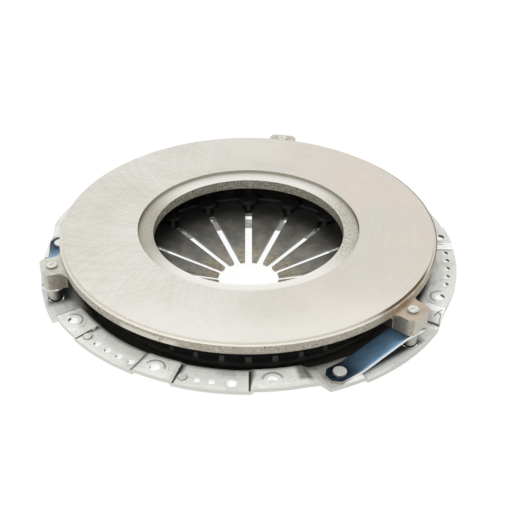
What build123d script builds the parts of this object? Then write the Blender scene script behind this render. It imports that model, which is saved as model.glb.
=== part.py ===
"""Diaphragm-spring clutch cover assembly, also called a clutch pressure plate, 350 mm class.

Millimetres. The origin is the centre of the bolt circle, in the plane of the bolt pads that seat on
the flywheel. +Z points at the flywheel, so the ground friction face looks up and the spring fingers
lie below. Angles are in degrees, anticlockwise about +Z as seen from the flywheel.
"""

import os
from itertools import pairwise
from math import atan, cos, degrees, hypot, radians, tan

from build123d import *

# Driving dimensions ------------------------------------------------------------------------------

SECTORS = 3  # the cover, its straps and the plate's lugs repeat three times round
FIRST_LUG_AZ = -41.5
RUN = 0.05  # radial play of a rivet's shank in its hole
SEAT_GAP = 0.2  # gap between flat faces of pieces that move apart

# Pressure plate: a turned cast-iron ring with three drive lugs and a toothed fulcrum ridge below.
FACE_Z = 28.8  # friction face above the bolt pads
FACE_OUTER_R = 182.2
FACE_INNER_R = 109.6
RIM_R = 185.4
RIM_DROP = 2.1  # shoulder outside the friction face
RIM_BOTTOM_DROP = 10.6
RIM_EDGE_R = 1.5
RECESS_DROP = 4.6  # step inside the friction face
BORE_R = 94.5
BORE_BOTTOM_DROP = 16.3
BACK_DROP = 23.0  # underside of the plate's body
BACK_INNER_R = 118.0
BACK_OUTER_R = 171.0
RIDGE_BASE_DROP = 36.0
RIDGE_OUTER_R = 159.0
RIDGE_INNER_R = 144.0
RIDGE_DRAFT = 2.0
CREST_R = 152.5  # the ridge presses on the spring here
CREST_WIDTH = 5.0
CREST_TEETH = 40
CREST_GAP = 5.6

LUG_TOP_Z = 22.0
LUG_BOTTOM_Z = 4.8
LUG_OUTER_R = 206.0
LUG_ROOT_R = 150.0
LUG_WIDTH = 29.0
LUG_CORNER_R = 7.0
LUG_RIVET_MARGIN = 10.6  # from the lug's end to its rivet
LUG_FLARE_R = 9.0  # fillet from the lug's side to the rim

# Cover: one stamped steel dish with a scalloped flange.
SHEET = 4.0
FLANGE_R = 207.5
WALL_TOP_R = 181.8  # where the wall's inner surface would meet the bolt-pad plane
WALL_LEAN = 31.4  # off vertical
LIP_R = 7.0  # bend from flange to wall, on its outer side
FLOOR_R = 8.0  # bend from wall to floor, on its outer side
CURL_TOP_R = 109.5  # where the curl's inner surface would meet the floor
CURL_BOTTOM_R = 103.6
CURL_R = 7.0  # bend from floor to curl, on its outer side
COVER_BOTTOM_Z = -43.2

BOSS_RISE = 0.4  # coined face round each bolt hole, above its pad
BOSS_R = 12.5
PAD_Z = -BOSS_RISE
LOW_Z = -3.2  # flange between the bolt pads
SEAT_Z = -11.4  # seat of each strap's fixed end
CHANNEL_Z = -14.8  # flange under each strap's free length

# The flange round one sector: degrees past the lug, height at the outer edge, height at the lip.
FLANGE_STATIONS = (
    (13.2, PAD_Z, PAD_Z),
    (22.4, PAD_Z, PAD_Z),
    (23.0, LOW_Z, PAD_Z - 1.2),
    (23.7, LOW_Z, LOW_Z),
    (42.1, LOW_Z, LOW_Z),
    (42.8, LOW_Z, PAD_Z - 1.2),
    (43.4, PAD_Z, PAD_Z),
    (52.4, PAD_Z, PAD_Z),
    (53.0, LOW_Z, PAD_Z - 1.2),
    (53.7, LOW_Z, LOW_Z),
    (71.5, LOW_Z, LOW_Z),
    (72.2, LOW_Z, PAD_Z - 1.2),
    (72.8, PAD_Z, PAD_Z),
    (85.8, PAD_Z, PAD_Z),
    (88.7, PAD_Z - 1.0, SEAT_Z),
    (91.3, SEAT_Z, SEAT_Z),
    (100.7, SEAT_Z, SEAT_Z),
    (101.7, CHANNEL_Z, CHANNEL_Z),
    (129.4, CHANNEL_Z, CHANNEL_Z),
    (131.9, PAD_Z - 2.2, PAD_Z - 2.2),
    (133.2, PAD_Z, PAD_Z),
)

BOLT_MARGIN = 10.0  # from the flange's edge to the bolt circle
BOLT_HOLE_R = 4.5
BOLT_OFFSETS = (17.5, 47.5, 77.5)  # past the lug
BALANCE_MARGIN = 9.3  # from the flange's edge to the balance and dowel holes
BALANCE_HOLE_R = 3.0
BALANCE_OFFSETS = (24.9, 28.8, 32.75, 36.7, 40.5, 55.0, 58.6, 62.4)
DOWEL_OFFSET = 67.4
DOWEL_HOLE_R = 4.3
TAIL_HOLE_R = 7.7  # clearance for the tail of each lug rivet

# Diaphragm spring and its pivot.
FINGERS = 16
SPRING_OUTER_R = 158.5
SPRING_TIP_R = 31.0
SPRING_T = 3.8
SPRING_RISE_DEG = 9.4  # the cone climbs outwards
SPRING_TIP_TOP_Z = -36.5
SLOT_WIDTH = 7.3
WINDOW_WIDTH = 13.0  # wide root of each slot, round its pivot rivet
WINDOW_INNER_R = 111.0
WINDOW_OUTER_R = 129.0
WINDOW_CORNER_R = 4.0
TIP_CORNER_R = 1.8
RING_WIRE_R = 2.5
PIVOT_R = 119.1
PIVOT_SHANK_R = 3.8
PIVOT_HEAD_R = 10.5
PIVOT_HEAD_H = 3.2
PIVOT_TAIL_R = 5.0
PIVOT_TAIL_H = 2.6

# Drive straps: three leaves to a pack, from a lug clockwise to the cover.
LEAVES = ("bottom", "middle", "top")
CORNERS = ("right", "rear", "left")
LEAF_T = 1.0
STRAP_WIDTH = 21.0
STRAP_SPAN_DEG = 24.5
STRAP_END = 12.5  # leaf beyond each rivet's centre
STRAP_CHAMFER = 6.0
STRAP_BEND_R = 60.0
SEAT_FLAT = 16.0  # flat length inwards of the cover rivet
LUG_FLAT = 13.0  # flat length inwards of the lug rivet
COVER_RIVET_MARGIN = 12.9  # from the flange's edge to the rivets at the straps' fixed ends

# Rivets.
LUG_SHANK_R = 4.5
LUG_HEAD_R = 5.2
LUG_HEAD_H = 2.2
LUG_COLLAR_R = 5.9
LUG_COLLAR_H = 0.5
LUG_TAIL_R = 6.6
LUG_TAIL_H = 17.5
COVER_SHANK_R = 4.0
COVER_HEAD_R = 6.3
COVER_HEAD_H = 2.2
COVER_TAIL_R = 6.0
COVER_TAIL_H = 2.8
BALANCE_HEAD_R = 4.2
BALANCE_HEAD_H = 1.6
BALANCED_HOLES = ((2, 24.9), (2, 55.0))  # sector and offset of each hole that holds a rivet
HEAD_EDGE = 0.5  # chamfer round a rivet head

# Sizes that follow -------------------------------------------------------------------------------

SECTOR = 360 / SECTORS
LUG_AZIMUTHS = tuple(FIRST_LUG_AZ + SECTOR * sector for sector in range(SECTORS))
BOLT_CIRCLE_R = FLANGE_R - BOLT_MARGIN
BALANCE_CIRCLE_R = FLANGE_R - BALANCE_MARGIN
COVER_RIVET_R = FLANGE_R - COVER_RIVET_MARGIN
LUG_RIVET_R = LUG_OUTER_R - LUG_RIVET_MARGIN
SLOPE = tan(radians(SPRING_RISE_DEG))
SPRING_DEPTH = SPRING_T / cos(radians(SPRING_RISE_DEG))  # thickness straight down
RING_RISE = RING_WIRE_R / cos(radians(SPRING_RISE_DEG))
RING_R = PIVOT_R + PIVOT_SHANK_R + RING_WIRE_R + RUN  # both rings lie round the rivets' shanks


def spring_top(r):
    """Height of the spring's upper surface at radius r."""
    return SPRING_TIP_TOP_Z + (r - SPRING_TIP_R) * SLOPE


UPPER_RING_Z = spring_top(RING_R) + RING_RISE + RUN
LOWER_RING_Z = spring_top(RING_R) - SPRING_DEPTH - RING_RISE - RUN
FLOOR_Z = LOWER_RING_Z - RING_WIRE_R - RUN
CREST_Z = spring_top(CREST_R + CREST_WIDTH / 2) + SEAT_GAP
STRAP_T = LEAF_T * len(LEAVES)
STRAP_LUG_Z = LUG_BOTTOM_Z - SEAT_GAP - STRAP_T  # underside of a strap pack at its lug


def polar(r, az):
    """The point of the bolt-pad plane at radius r and azimuth az."""
    return Vector(r * cos(radians(az)), r * cos(radians(az - 90)), 0)


def radial_plane(az):
    """The plane through the axis at azimuth az, with local x outwards and local y up."""
    return Plane(origin=(0, 0, 0), x_dir=polar(1, az), z_dir=polar(1, az - 90))


def nearest(shape, x, y):
    """The vertex of a sketch nearest to a point."""
    return shape.vertices().sort_by_distance((x, y, 0))[0]


def turned(points):
    """Turn a closed outline, given as (radius, height) pairs, about the Z axis."""
    with BuildSketch(Plane.XZ) as outline:
        with BuildLine():
            Polyline(*points, close=True)
        make_face()
    revolve(outline.sketch, axis=Axis.Z)


# Pressure plate ----------------------------------------------------------------------------------


def make_pressure_plate():
    """The ring is turned, its ridge is cut into teeth, and the lugs stand out under its rim."""
    rim_bottom, body_bottom = FACE_Z - RIM_BOTTOM_DROP, FACE_Z - BACK_DROP
    bore_bottom, ridge_base = FACE_Z - BORE_BOTTOM_DROP, FACE_Z - RIDGE_BASE_DROP
    crest_in, crest_out = CREST_R - CREST_WIDTH / 2, CREST_R + CREST_WIDTH / 2
    with BuildPart() as plate:
        turned(
            (
                (FACE_INNER_R, FACE_Z),
                (FACE_OUTER_R, FACE_Z),
                (FACE_OUTER_R, FACE_Z - RIM_DROP),
                (RIM_R, FACE_Z - RIM_DROP),
                (RIM_R, rim_bottom),
                (BACK_OUTER_R, bore_bottom),
                (RIDGE_OUTER_R + RIDGE_DRAFT, body_bottom),
                (RIDGE_OUTER_R, ridge_base),
                (crest_out, ridge_base),
                (crest_out, CREST_Z),
                (crest_in, CREST_Z),
                (crest_in, ridge_base),
                (RIDGE_INNER_R + RIDGE_DRAFT, ridge_base),
                (RIDGE_INNER_R, body_bottom),
                (BACK_INNER_R, body_bottom),
                (BORE_R + RIDGE_DRAFT, bore_bottom),
                (BORE_R, bore_bottom + RIDGE_DRAFT),
                (BORE_R, FACE_Z - RECESS_DROP),
                (FACE_INNER_R, FACE_Z - RECESS_DROP),
            )
        )
        fillet(plate.edges().group_by(Axis.Z)[0], CREST_WIDTH / 4)
        fillet(plate.edges().filter_by(lambda e: abs(e.center().Z - rim_bottom) < 0.01), RIM_EDGE_R)
        with Locations((0, 0, CREST_Z)):
            with PolarLocations(CREST_R, CREST_TEETH):
                Box(
                    2 * CREST_WIDTH,
                    CREST_GAP,
                    ridge_base - CREST_Z,
                    align=(Align.CENTER, Align.CENTER, Align.MIN),
                    mode=Mode.SUBTRACT,
                )
        with BuildSketch(Plane.XY.offset(LUG_BOTTOM_Z)) as lugs:
            with PolarLocations(LUG_ROOT_R, SECTORS, start_angle=FIRST_LUG_AZ):
                Rectangle(LUG_OUTER_R - LUG_ROOT_R, LUG_WIDTH, align=(Align.MIN, Align.CENTER))
            fillet(lugs.vertices().filter_by(lambda v: hypot(v.X, v.Y) > RIM_R), LUG_CORNER_R)
        extrude(amount=LUG_TOP_Z - LUG_BOTTOM_Z)
        with BuildSketch(Plane.XY.offset(rim_bottom + RIM_EDGE_R)) as flares:
            Circle(RIM_R)
            with PolarLocations(LUG_ROOT_R, SECTORS, start_angle=FIRST_LUG_AZ):
                Rectangle(
                    LUG_OUTER_R - LUG_ROOT_R - LUG_CORNER_R,
                    LUG_WIDTH,
                    align=(Align.MIN, Align.CENTER),
                )
            half_angle = degrees(LUG_WIDTH / 2 / RIM_R)
            corners = [polar(RIM_R, az + side * half_angle) for az in LUG_AZIMUTHS for side in (-1, 1)]
            fillet([nearest(flares, corner.X, corner.Y) for corner in corners], LUG_FLARE_R)
            Circle(BACK_OUTER_R + RIM_EDGE_R, mode=Mode.SUBTRACT)
        extrude(amount=LUG_TOP_Z - rim_bottom - RIM_EDGE_R)
        with PolarLocations(LUG_RIVET_R, SECTORS, start_angle=FIRST_LUG_AZ):
            Cylinder(LUG_SHANK_R + RUN, 2 * LUG_TOP_Z + 1, mode=Mode.SUBTRACT)
    return plate.part


# Cover -------------------------------------------------------------------------------------------


def cover_section(az, edge_z, lip_z):
    """Sketch the sheet's section at azimuth az, with every bend at its own radius."""
    lean = tan(radians(WALL_LEAN))
    wall_shift = SHEET / cos(radians(WALL_LEAN))
    curl_lean = (CURL_TOP_R - CURL_BOTTOM_R) / (FLOOR_Z - COVER_BOTTOM_Z)
    curl_shift = SHEET * hypot(1, curl_lean)
    lip = (WALL_TOP_R + lean * lip_z, lip_z)
    lip_under = (WALL_TOP_R + lean * (lip_z - SHEET) + wall_shift, lip_z - SHEET)
    floor = (WALL_TOP_R + lean * FLOOR_Z, FLOOR_Z)
    floor_under = (WALL_TOP_R + lean * (FLOOR_Z - SHEET) + wall_shift, FLOOR_Z - SHEET)
    curl = (CURL_TOP_R, FLOOR_Z)
    curl_under = (CURL_TOP_R - curl_lean * SHEET + curl_shift, FLOOR_Z - SHEET)
    bends = (
        (lip, LIP_R),
        (lip_under, LIP_R - SHEET),
        (floor, FLOOR_R - SHEET),
        (floor_under, FLOOR_R),
        (curl, CURL_R),
        (curl_under, CURL_R - SHEET),
    )
    with BuildSketch(radial_plane(az)) as section:
        with BuildLine():
            Polyline(
                (FLANGE_R, edge_z),
                lip,
                floor,
                curl,
                (CURL_BOTTOM_R, COVER_BOTTOM_Z),
                (CURL_BOTTOM_R + curl_shift, COVER_BOTTOM_Z),
                curl_under,
                floor_under,
                lip_under,
                (FLANGE_R, edge_z - SHEET),
                close=True,
            )
        make_face()
        for point, radius in bends:
            fillet(nearest(section, *point), radius)
    return section.sketch


def make_cover_sector():
    """Level stretches are turned, and each ramp between two levels is a ruled loft."""
    with BuildPart() as sector:
        for (start, *low), (end, *high) in pairwise(FLANGE_STATIONS):
            section = cover_section(FIRST_LUG_AZ + start, *low)
            if low == high:
                revolve(section, axis=Axis.Z, revolution_arc=end - start)
            else:
                loft([section, cover_section(FIRST_LUG_AZ + end, *high)], ruled=True)
    return sector.part


def make_cover():
    """Three pressed sectors, the coined bolt bosses, and every hole."""
    pressed = make_cover_sector()
    with BuildPart() as cover:
        with PolarLocations(0, SECTORS):
            add(pressed)
        with BuildSketch():
            for offset in BOLT_OFFSETS:
                with PolarLocations(BOLT_CIRCLE_R, SECTORS, start_angle=FIRST_LUG_AZ + offset):
                    Circle(BOSS_R)
            Circle(FLANGE_R - BOSS_RISE, mode=Mode.INTERSECT)
        extrude(amount=PAD_Z - SHEET / 2)
        flange_holes = [(BOLT_CIRCLE_R, offset, BOLT_HOLE_R) for offset in BOLT_OFFSETS]
        flange_holes += [(BALANCE_CIRCLE_R, offset, BALANCE_HOLE_R) for offset in BALANCE_OFFSETS]
        flange_holes += [
            (BALANCE_CIRCLE_R, DOWEL_OFFSET, DOWEL_HOLE_R),
            (COVER_RIVET_R, SECTOR - STRAP_SPAN_DEG, COVER_SHANK_R + RUN),
            (LUG_RIVET_R, 0, TAIL_HOLE_R),
        ]
        with BuildSketch():
            for circle_r, offset, hole_r in flange_holes:
                with PolarLocations(circle_r, SECTORS, start_angle=FIRST_LUG_AZ + offset):
                    Circle(hole_r)
            with PolarLocations(PIVOT_R, FINGERS):
                Circle(PIVOT_SHANK_R + RUN)
        extrude(amount=COVER_BOTTOM_Z, mode=Mode.SUBTRACT)
    return cover.part


# Diaphragm spring and pivot ----------------------------------------------------------------------


def make_spring():
    """A sheet cone, slit into fingers whose slots end in windows for the pivot rivets."""
    lean_r, lean_z = SPRING_T * SLOPE / hypot(1, SLOPE), SPRING_T / hypot(1, SLOPE)
    outer_z = spring_top(SPRING_OUTER_R)
    with BuildPart() as spring:
        turned(
            (
                (SPRING_TIP_R - lean_r, SPRING_TIP_TOP_Z - lean_r * SLOPE),
                (SPRING_OUTER_R, outer_z),
                (SPRING_OUTER_R + lean_r, outer_z - lean_z),
                (SPRING_TIP_R, SPRING_TIP_TOP_Z - lean_r * SLOPE - lean_z),
            )
        )
        with BuildSketch(Plane.XY.offset(COVER_BOTTOM_Z)) as plan:
            Circle(SPRING_OUTER_R + SPRING_T)
            Circle(SPRING_TIP_R, mode=Mode.SUBTRACT)
            with PolarLocations(0, FINGERS):
                Rectangle(
                    WINDOW_INNER_R + WINDOW_CORNER_R,
                    SLOT_WIDTH,
                    align=(Align.MIN, Align.CENTER),
                    mode=Mode.SUBTRACT,
                )
            with PolarLocations((WINDOW_INNER_R + WINDOW_OUTER_R) / 2, FINGERS):
                RectangleRounded(
                    WINDOW_OUTER_R - WINDOW_INNER_R,
                    WINDOW_WIDTH,
                    WINDOW_CORNER_R,
                    mode=Mode.SUBTRACT,
                )
            tips = plan.vertices().filter_by(lambda v: hypot(v.X, v.Y) < SPRING_TIP_R + 1)
            fillet(tips, TIP_CORNER_R)
        extrude(amount=outer_z - COVER_BOTTOM_Z + SPRING_T, mode=Mode.INTERSECT)
    return spring.part


def make_fulcrum_ring(z):
    """A wire ring that the spring rocks on."""
    with BuildPart() as ring:
        with BuildSketch(Plane.XZ):
            with Locations((RING_R, z)):
                Circle(RING_WIRE_R)
        revolve(axis=Axis.Z)
    return ring.part


def rivet_outline(shank_r, head, tail, grip, collar=(0, 0)):
    """Half outline of a rivet: head and tail are (radius, height), grip is (bottom, top)."""
    bottom, top = grip
    (head_r, head_h), (tail_r, tail_h), (collar_r, collar_h) = head, tail, collar
    seat = ((collar_r, top), (collar_r, top + collar_h)) if collar_h else ()
    return (
        (0, bottom - tail_h),
        (tail_r - HEAD_EDGE, bottom - tail_h),
        (tail_r, bottom - tail_h + HEAD_EDGE),
        (tail_r, bottom),
        (shank_r, bottom),
        (shank_r, top),
        *seat,
        (head_r, top + collar_h),
        (head_r, top + head_h - HEAD_EDGE),
        (head_r - HEAD_EDGE, top + head_h),
        (0, top + head_h),
    )


def make_rivets(circle_r, azimuths, outline):
    """Identical rivets round a circle, one at each azimuth."""
    with BuildPart() as rivet:
        turned(outline)
    with BuildPart() as rivets:
        for az in azimuths:
            with Locations(polar(circle_r, az)):
                add(rivet.part)
    return rivets.part


def make_pivot_rivets():
    """Shouldered rivets that hold both fulcrum rings on the cover's floor."""
    outline = rivet_outline(
        PIVOT_SHANK_R,
        (PIVOT_HEAD_R, PIVOT_HEAD_H),
        (PIVOT_TAIL_R, PIVOT_TAIL_H),
        (FLOOR_Z - SHEET, UPPER_RING_Z + RING_WIRE_R + RUN),
    )
    return make_rivets(PIVOT_R, [360 / FINGERS * k for k in range(FINGERS)], outline)


# Drive straps ------------------------------------------------------------------------------------


def make_leaf(lug_az, level):
    """One leaf of a strap pack: a bent strip, trimmed to its plan. Level 0 lies on the cover."""
    fixed = polar(COVER_RIVET_R, lug_az - STRAP_SPAN_DEG)
    driven = polar(LUG_RIVET_R, lug_az)
    span = (driven - fixed).length
    along = (driven - fixed).normalized()
    climb = atan((STRAP_LUG_Z - SEAT_Z) / (span - SEAT_FLAT - LUG_FLAT))
    strip, bends = [], []
    for rise, way in ((level * LEAF_T, 1), ((level + 1) * LEAF_T, -1)):
        back = rise * tan(climb / 2)
        low_bend = (SEAT_FLAT - back, SEAT_Z + rise)
        high_bend = (span - LUG_FLAT - back, STRAP_LUG_Z + rise)
        line = [
            (-STRAP_END, SEAT_Z + rise),
            low_bend,
            high_bend,
            (span + STRAP_END, STRAP_LUG_Z + rise),
        ]
        strip += line[::way]
        bends += [(low_bend, STRAP_BEND_R - rise), (high_bend, STRAP_BEND_R + rise)]
    with BuildPart() as leaf:
        with BuildSketch(Plane(origin=fixed, x_dir=along, z_dir=along.cross(Vector(0, 0, 1)))) as side:
            with BuildLine():
                Polyline(*strip, close=True)
            make_face()
            for point, radius in bends:
                fillet(nearest(side, *point), radius)
        extrude(amount=STRAP_WIDTH, both=True)
        with BuildSketch(Plane(origin=fixed, x_dir=along, z_dir=(0, 0, 1)).offset(SEAT_Z)) as plan:
            with Locations((span / 2, 0)):
                Rectangle(span + 2 * STRAP_END, STRAP_WIDTH)
            chamfer(plan.vertices(), STRAP_CHAMFER)
            Circle(COVER_SHANK_R + RUN, mode=Mode.SUBTRACT)
            with Locations((span, 0)):
                Circle(LUG_SHANK_R + 2 * SEAT_GAP, mode=Mode.SUBTRACT)
        extrude(amount=LUG_TOP_Z - SEAT_Z, mode=Mode.INTERSECT)
    return leaf.part


def make_lug_rivet(lug_az):
    """Holds a strap pack under its lug, with a long tail that dips into the cover's hole."""
    outline = rivet_outline(
        LUG_SHANK_R,
        (LUG_HEAD_R, LUG_HEAD_H),
        (LUG_TAIL_R, LUG_TAIL_H),
        (STRAP_LUG_Z - SEAT_GAP, LUG_TOP_Z),
        (LUG_COLLAR_R, LUG_COLLAR_H),
    )
    return make_rivets(LUG_RIVET_R, [lug_az], outline)


def make_cover_rivet(lug_az):
    """Holds the fixed end of a strap pack on its seat."""
    outline = rivet_outline(
        COVER_SHANK_R,
        (COVER_HEAD_R, COVER_HEAD_H),
        (COVER_TAIL_R, COVER_TAIL_H),
        (SEAT_Z - SHEET, SEAT_Z + STRAP_T),
    )
    return make_rivets(COVER_RIVET_R, [lug_az - STRAP_SPAN_DEG], outline)


def make_balance_rivets():
    """Small rivets left in the flange where the assembly was balanced."""
    outline = rivet_outline(
        BALANCE_HOLE_R - RUN,
        (BALANCE_HEAD_R, BALANCE_HEAD_H),
        (BALANCE_HEAD_R, BALANCE_HEAD_H),
        (LOW_Z - SHEET, LOW_Z),
    )
    azimuths = [LUG_AZIMUTHS[sector] + offset for sector, offset in BALANCED_HOLES]
    return make_rivets(BALANCE_CIRCLE_R, azimuths, outline)


# Assembly ----------------------------------------------------------------------------------------

pieces = {
    "cover": make_cover(),
    "pressure_plate": make_pressure_plate(),
    "diaphragm_spring": make_spring(),
    "upper_fulcrum_ring": make_fulcrum_ring(UPPER_RING_Z),
    "lower_fulcrum_ring": make_fulcrum_ring(LOWER_RING_Z),
    "pivot_rivets": make_pivot_rivets(),
    "balance_rivets": make_balance_rivets(),
}
for corner, lug_az in zip(CORNERS, LUG_AZIMUTHS):
    pieces[f"{corner}_lug_rivet"] = make_lug_rivet(lug_az)
    pieces[f"{corner}_strap_rivet"] = make_cover_rivet(lug_az)
    for level, leaf_name in enumerate(LEAVES):
        pieces[f"{corner}_strap_{leaf_name}_leaf"] = make_leaf(lug_az, level)

os.makedirs("parts", exist_ok=True)
for name, piece in pieces.items():
    piece.label = name
    export_step(piece, f"parts/{name}.step")
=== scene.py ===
# %% [markdown]
# # A diaphragm-spring clutch cover, dressed
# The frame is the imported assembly: every stamped, cast and riveted part is already in its place.
# This script adds the camera, a light table, the finishes, and the few parts that bend as the
# pressure plate moves: the strap leaves and the diaphragm spring.

# %% Load the frame
import math

import bpy
from mathutils import Matrix, Vector
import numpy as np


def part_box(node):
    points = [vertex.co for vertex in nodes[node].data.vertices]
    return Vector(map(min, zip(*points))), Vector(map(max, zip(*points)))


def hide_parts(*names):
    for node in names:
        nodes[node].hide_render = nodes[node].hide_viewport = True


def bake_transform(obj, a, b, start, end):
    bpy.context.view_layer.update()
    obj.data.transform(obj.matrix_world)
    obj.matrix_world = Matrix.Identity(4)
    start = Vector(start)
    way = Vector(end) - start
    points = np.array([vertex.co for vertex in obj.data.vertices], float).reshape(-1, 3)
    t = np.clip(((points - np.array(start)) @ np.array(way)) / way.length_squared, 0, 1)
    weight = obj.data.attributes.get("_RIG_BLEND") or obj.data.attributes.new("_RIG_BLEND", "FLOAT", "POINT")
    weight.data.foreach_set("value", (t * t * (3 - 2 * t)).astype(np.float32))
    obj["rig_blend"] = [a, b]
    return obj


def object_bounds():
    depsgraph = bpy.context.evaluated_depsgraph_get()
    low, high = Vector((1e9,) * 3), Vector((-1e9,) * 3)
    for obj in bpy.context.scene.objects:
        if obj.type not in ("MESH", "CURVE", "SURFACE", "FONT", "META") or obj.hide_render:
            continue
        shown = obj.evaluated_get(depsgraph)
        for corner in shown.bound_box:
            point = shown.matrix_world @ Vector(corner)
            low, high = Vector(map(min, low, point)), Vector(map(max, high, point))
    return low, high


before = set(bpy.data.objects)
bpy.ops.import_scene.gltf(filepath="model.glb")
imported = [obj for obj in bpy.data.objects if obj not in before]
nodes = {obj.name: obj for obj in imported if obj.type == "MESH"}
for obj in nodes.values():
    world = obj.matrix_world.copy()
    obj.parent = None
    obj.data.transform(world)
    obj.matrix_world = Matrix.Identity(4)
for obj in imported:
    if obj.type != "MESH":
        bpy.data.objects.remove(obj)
cad_box = [list(corner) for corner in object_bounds()]
print("CAD box", cad_box)
bpy.ops.object.select_all(action="DESELECT")

# %% [markdown]
# ## Camera
# The clutch is seen from the front, a little above it. A long lens keeps its rings true ellipses.
# A camera could be turned by three angles, but here it is aimed at a point and then rolled a third
# of a degree, so its three axes are worked out and set as one matrix.

# %% Place the camera
CAMERA_AT = Vector((0.0, -0.81997, 0.56034))
CAMERA_AIM = Vector((0.00613, -0.0531, 0.0288))
CAMERA_ROLL = math.radians(0.32)
LENS_MM, SENSOR_MM = 69.489, 36
FAR_CLIP = 50

bpy.ops.object.camera_add(location=CAMERA_AT)
camera = bpy.context.object
camera.name = "camera"
forward = (CAMERA_AIM - CAMERA_AT).normalized()
level_right = forward.cross(Vector((0, 0, 1))).normalized()
level_up = level_right.cross(forward)
right = level_right * math.cos(CAMERA_ROLL) + level_up * math.sin(CAMERA_ROLL)
up = level_up * math.cos(CAMERA_ROLL) - level_right * math.sin(CAMERA_ROLL)
turn = Matrix((right, up, -forward)).transposed()
camera.matrix_world = Matrix.Translation(CAMERA_AT) @ turn.to_4x4()
camera.data.lens = LENS_MM
camera.data.sensor_width = SENSOR_MM
camera.data.clip_end = FAR_CLIP
bpy.context.scene.camera = camera
print("camera looks", tuple(round(x, 3) for x in forward))

# %% [markdown]
# ## Colours and nodes
# Colours are written as sRGB hex values, as a paint chip would give them, and one function turns
# them into the linear values that Blender's shaders work in. One small function adds any node. The
# others are recipes of several nodes: masks that pick a surface, and colours laid one on another.

# %% Turn colours linear


def linear(colour):
    """Turn an sRGB hex colour into linear RGBA, and leave anything else as it is."""
    if not isinstance(colour, str):
        return colour
    shares = [int(colour[i : i + 2], 16) / 255 for i in (1, 3, 5)]
    curve = [s / 12.92 if s <= 0.04045 else ((s + 0.055) / 1.055) ** 2.4 for s in shares]
    return (*curve, 1.0)


print("mid grey is", round(linear("#808080")[0], 3))

# %% Add a node


def fill(tree, socket, value):
    """Link another node's output to an input, or set a plain value there."""
    if isinstance(value, bpy.types.NodeSocket):
        tree.links.new(value, socket)
    else:
        socket.default_value = value


def add_node(tree, kind, *values, pick=0, **settings):
    """Add a node and return one of its outputs, or all that it shows if pick is None.

    The values fill the inputs that the node shows, in order. A setting whose name has a capital
    is an input too, and any other setting is a property of the node.
    """
    made = tree.nodes.new("ShaderNode" + kind)
    inputs = {name: settings.pop(name) for name in list(settings) if name[0].isupper()}
    for name, value in settings.items():
        setattr(made, name, value)
    for socket, value in zip([s for s in made.inputs if s.enabled], values):
        fill(tree, socket, value)
    for name, value in inputs.items():
        fill(tree, made.inputs[name], value)
    if isinstance(pick, str):
        return made.outputs[pick]
    shown = [s for s in made.outputs if s.enabled]
    return shown if pick is None or not shown else shown[pick]


# %% Start and finish a material


def new_material(name):
    """A new node material, its node tree and its one Principled shader."""
    material = bpy.data.materials.new(name)
    material.use_nodes = True
    tree = material.node_tree
    return material, tree, tree.nodes["Principled BSDF"]


def finish_shader(tree, shader, tone, rough, metallic, height, depth, strength=0.6):
    """Give a shader its recipe's colour, roughness, metal, and bump of that depth in metres."""
    normal = add_node(tree, "Bump", Height=height, Distance=depth, Strength=strength)
    recipe = {"Base Color": tone, "Roughness": rough, "Metallic": metallic, "Normal": normal}
    for name, value in recipe.items():
        fill(tree, shader.inputs[name], value)


def wear(node_name, material):
    """Give a CAD node its finish."""
    mesh = nodes[node_name].data
    mesh.materials.clear()
    mesh.materials.append(material)


# %% Pick surfaces and lay colours


def mask(tree, *limits):
    """The product of several shares. A share may be a value with the limits it fades between.

    (value, low, high) grows smoothly from 0 at low to 1 at high. (value, low, high, soft) is 1
    between low and high, and fades to 0 over that soft a distance outside them.
    """
    shares = []
    for limit in limits:
        if not isinstance(limit, tuple):
            shares.append(limit)
            continue
        value, low, high, *soft = limit
        ends = [(low - soft[0], low), (high + soft[0], high)] if soft else [(low, high)]
        for end in ends:
            shares.append(
                add_node(tree, "MapRange", value, *end, interpolation_type="SMOOTHSTEP")
            )
    result = shares[0]
    for share in shares[1:]:
        result = add_node(tree, "Math", result, share, operation="MULTIPLY")
    return result


def lay(tree, tone, *layers):
    """Lay colours over a tone, each with its share: hex colours or tones."""
    for share, colour in layers:
        tone = add_node(tree, "Mix", share, linear(tone), linear(colour), data_type="RGBA")
    return tone


# %% Place patterns round the axis


def turned_place(tree):
    """A point's position, height, radius and bearing, and how much it faces up and outwards."""
    place = add_node(tree, "TexCoord", pick="Object")
    x, y, z = add_node(tree, "SeparateXYZ", place, pick=None)
    flat = add_node(tree, "CombineXYZ", x, y)
    radius = add_node(tree, "VectorMath", flat, operation="LENGTH")
    bearing = add_node(tree, "Math", y, x, operation="ARCTAN2")
    normal = add_node(tree, "NewGeometry", pick="Normal")
    facing = add_node(tree, "SeparateXYZ", normal, pick=2)
    outwards = add_node(tree, "VectorMath", flat, operation="NORMALIZE")
    leaning = add_node(tree, "VectorMath", outwards, normal, operation="DOT_PRODUCT")
    return place, z, radius, bearing, facing, leaning


def turned_streaks(tree, radius, bearing, across, along, detail=3.0):
    """Noise drawn out round the axis: so many streaks to a metre of radius, and to a radian."""
    spread = []
    for turn in ("COSINE", "SINE"):
        share = add_node(tree, "Math", bearing, operation=turn)
        spread.append(add_node(tree, "Math", share, along, operation="MULTIPLY"))
    out = add_node(tree, "Math", radius, across, operation="MULTIPLY")
    wrapped = add_node(tree, "CombineXYZ", *spread, out)
    return add_node(tree, "TexNoise", wrapped, 1.0, detail)


# %% [markdown]
# ## Light table
# The part lies on a white light table inside a white tent, so light reaches it from all sides and
# from below. The table and the tent look white and give metal something white to mirror. Two soft
# lamps add the direction that shows the shapes. A world of plain white would be simpler, but only
# a real table catches the soft shadow under the part. Both look brighter than the light they
# shed, because so much light would wash the shading out.

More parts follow.
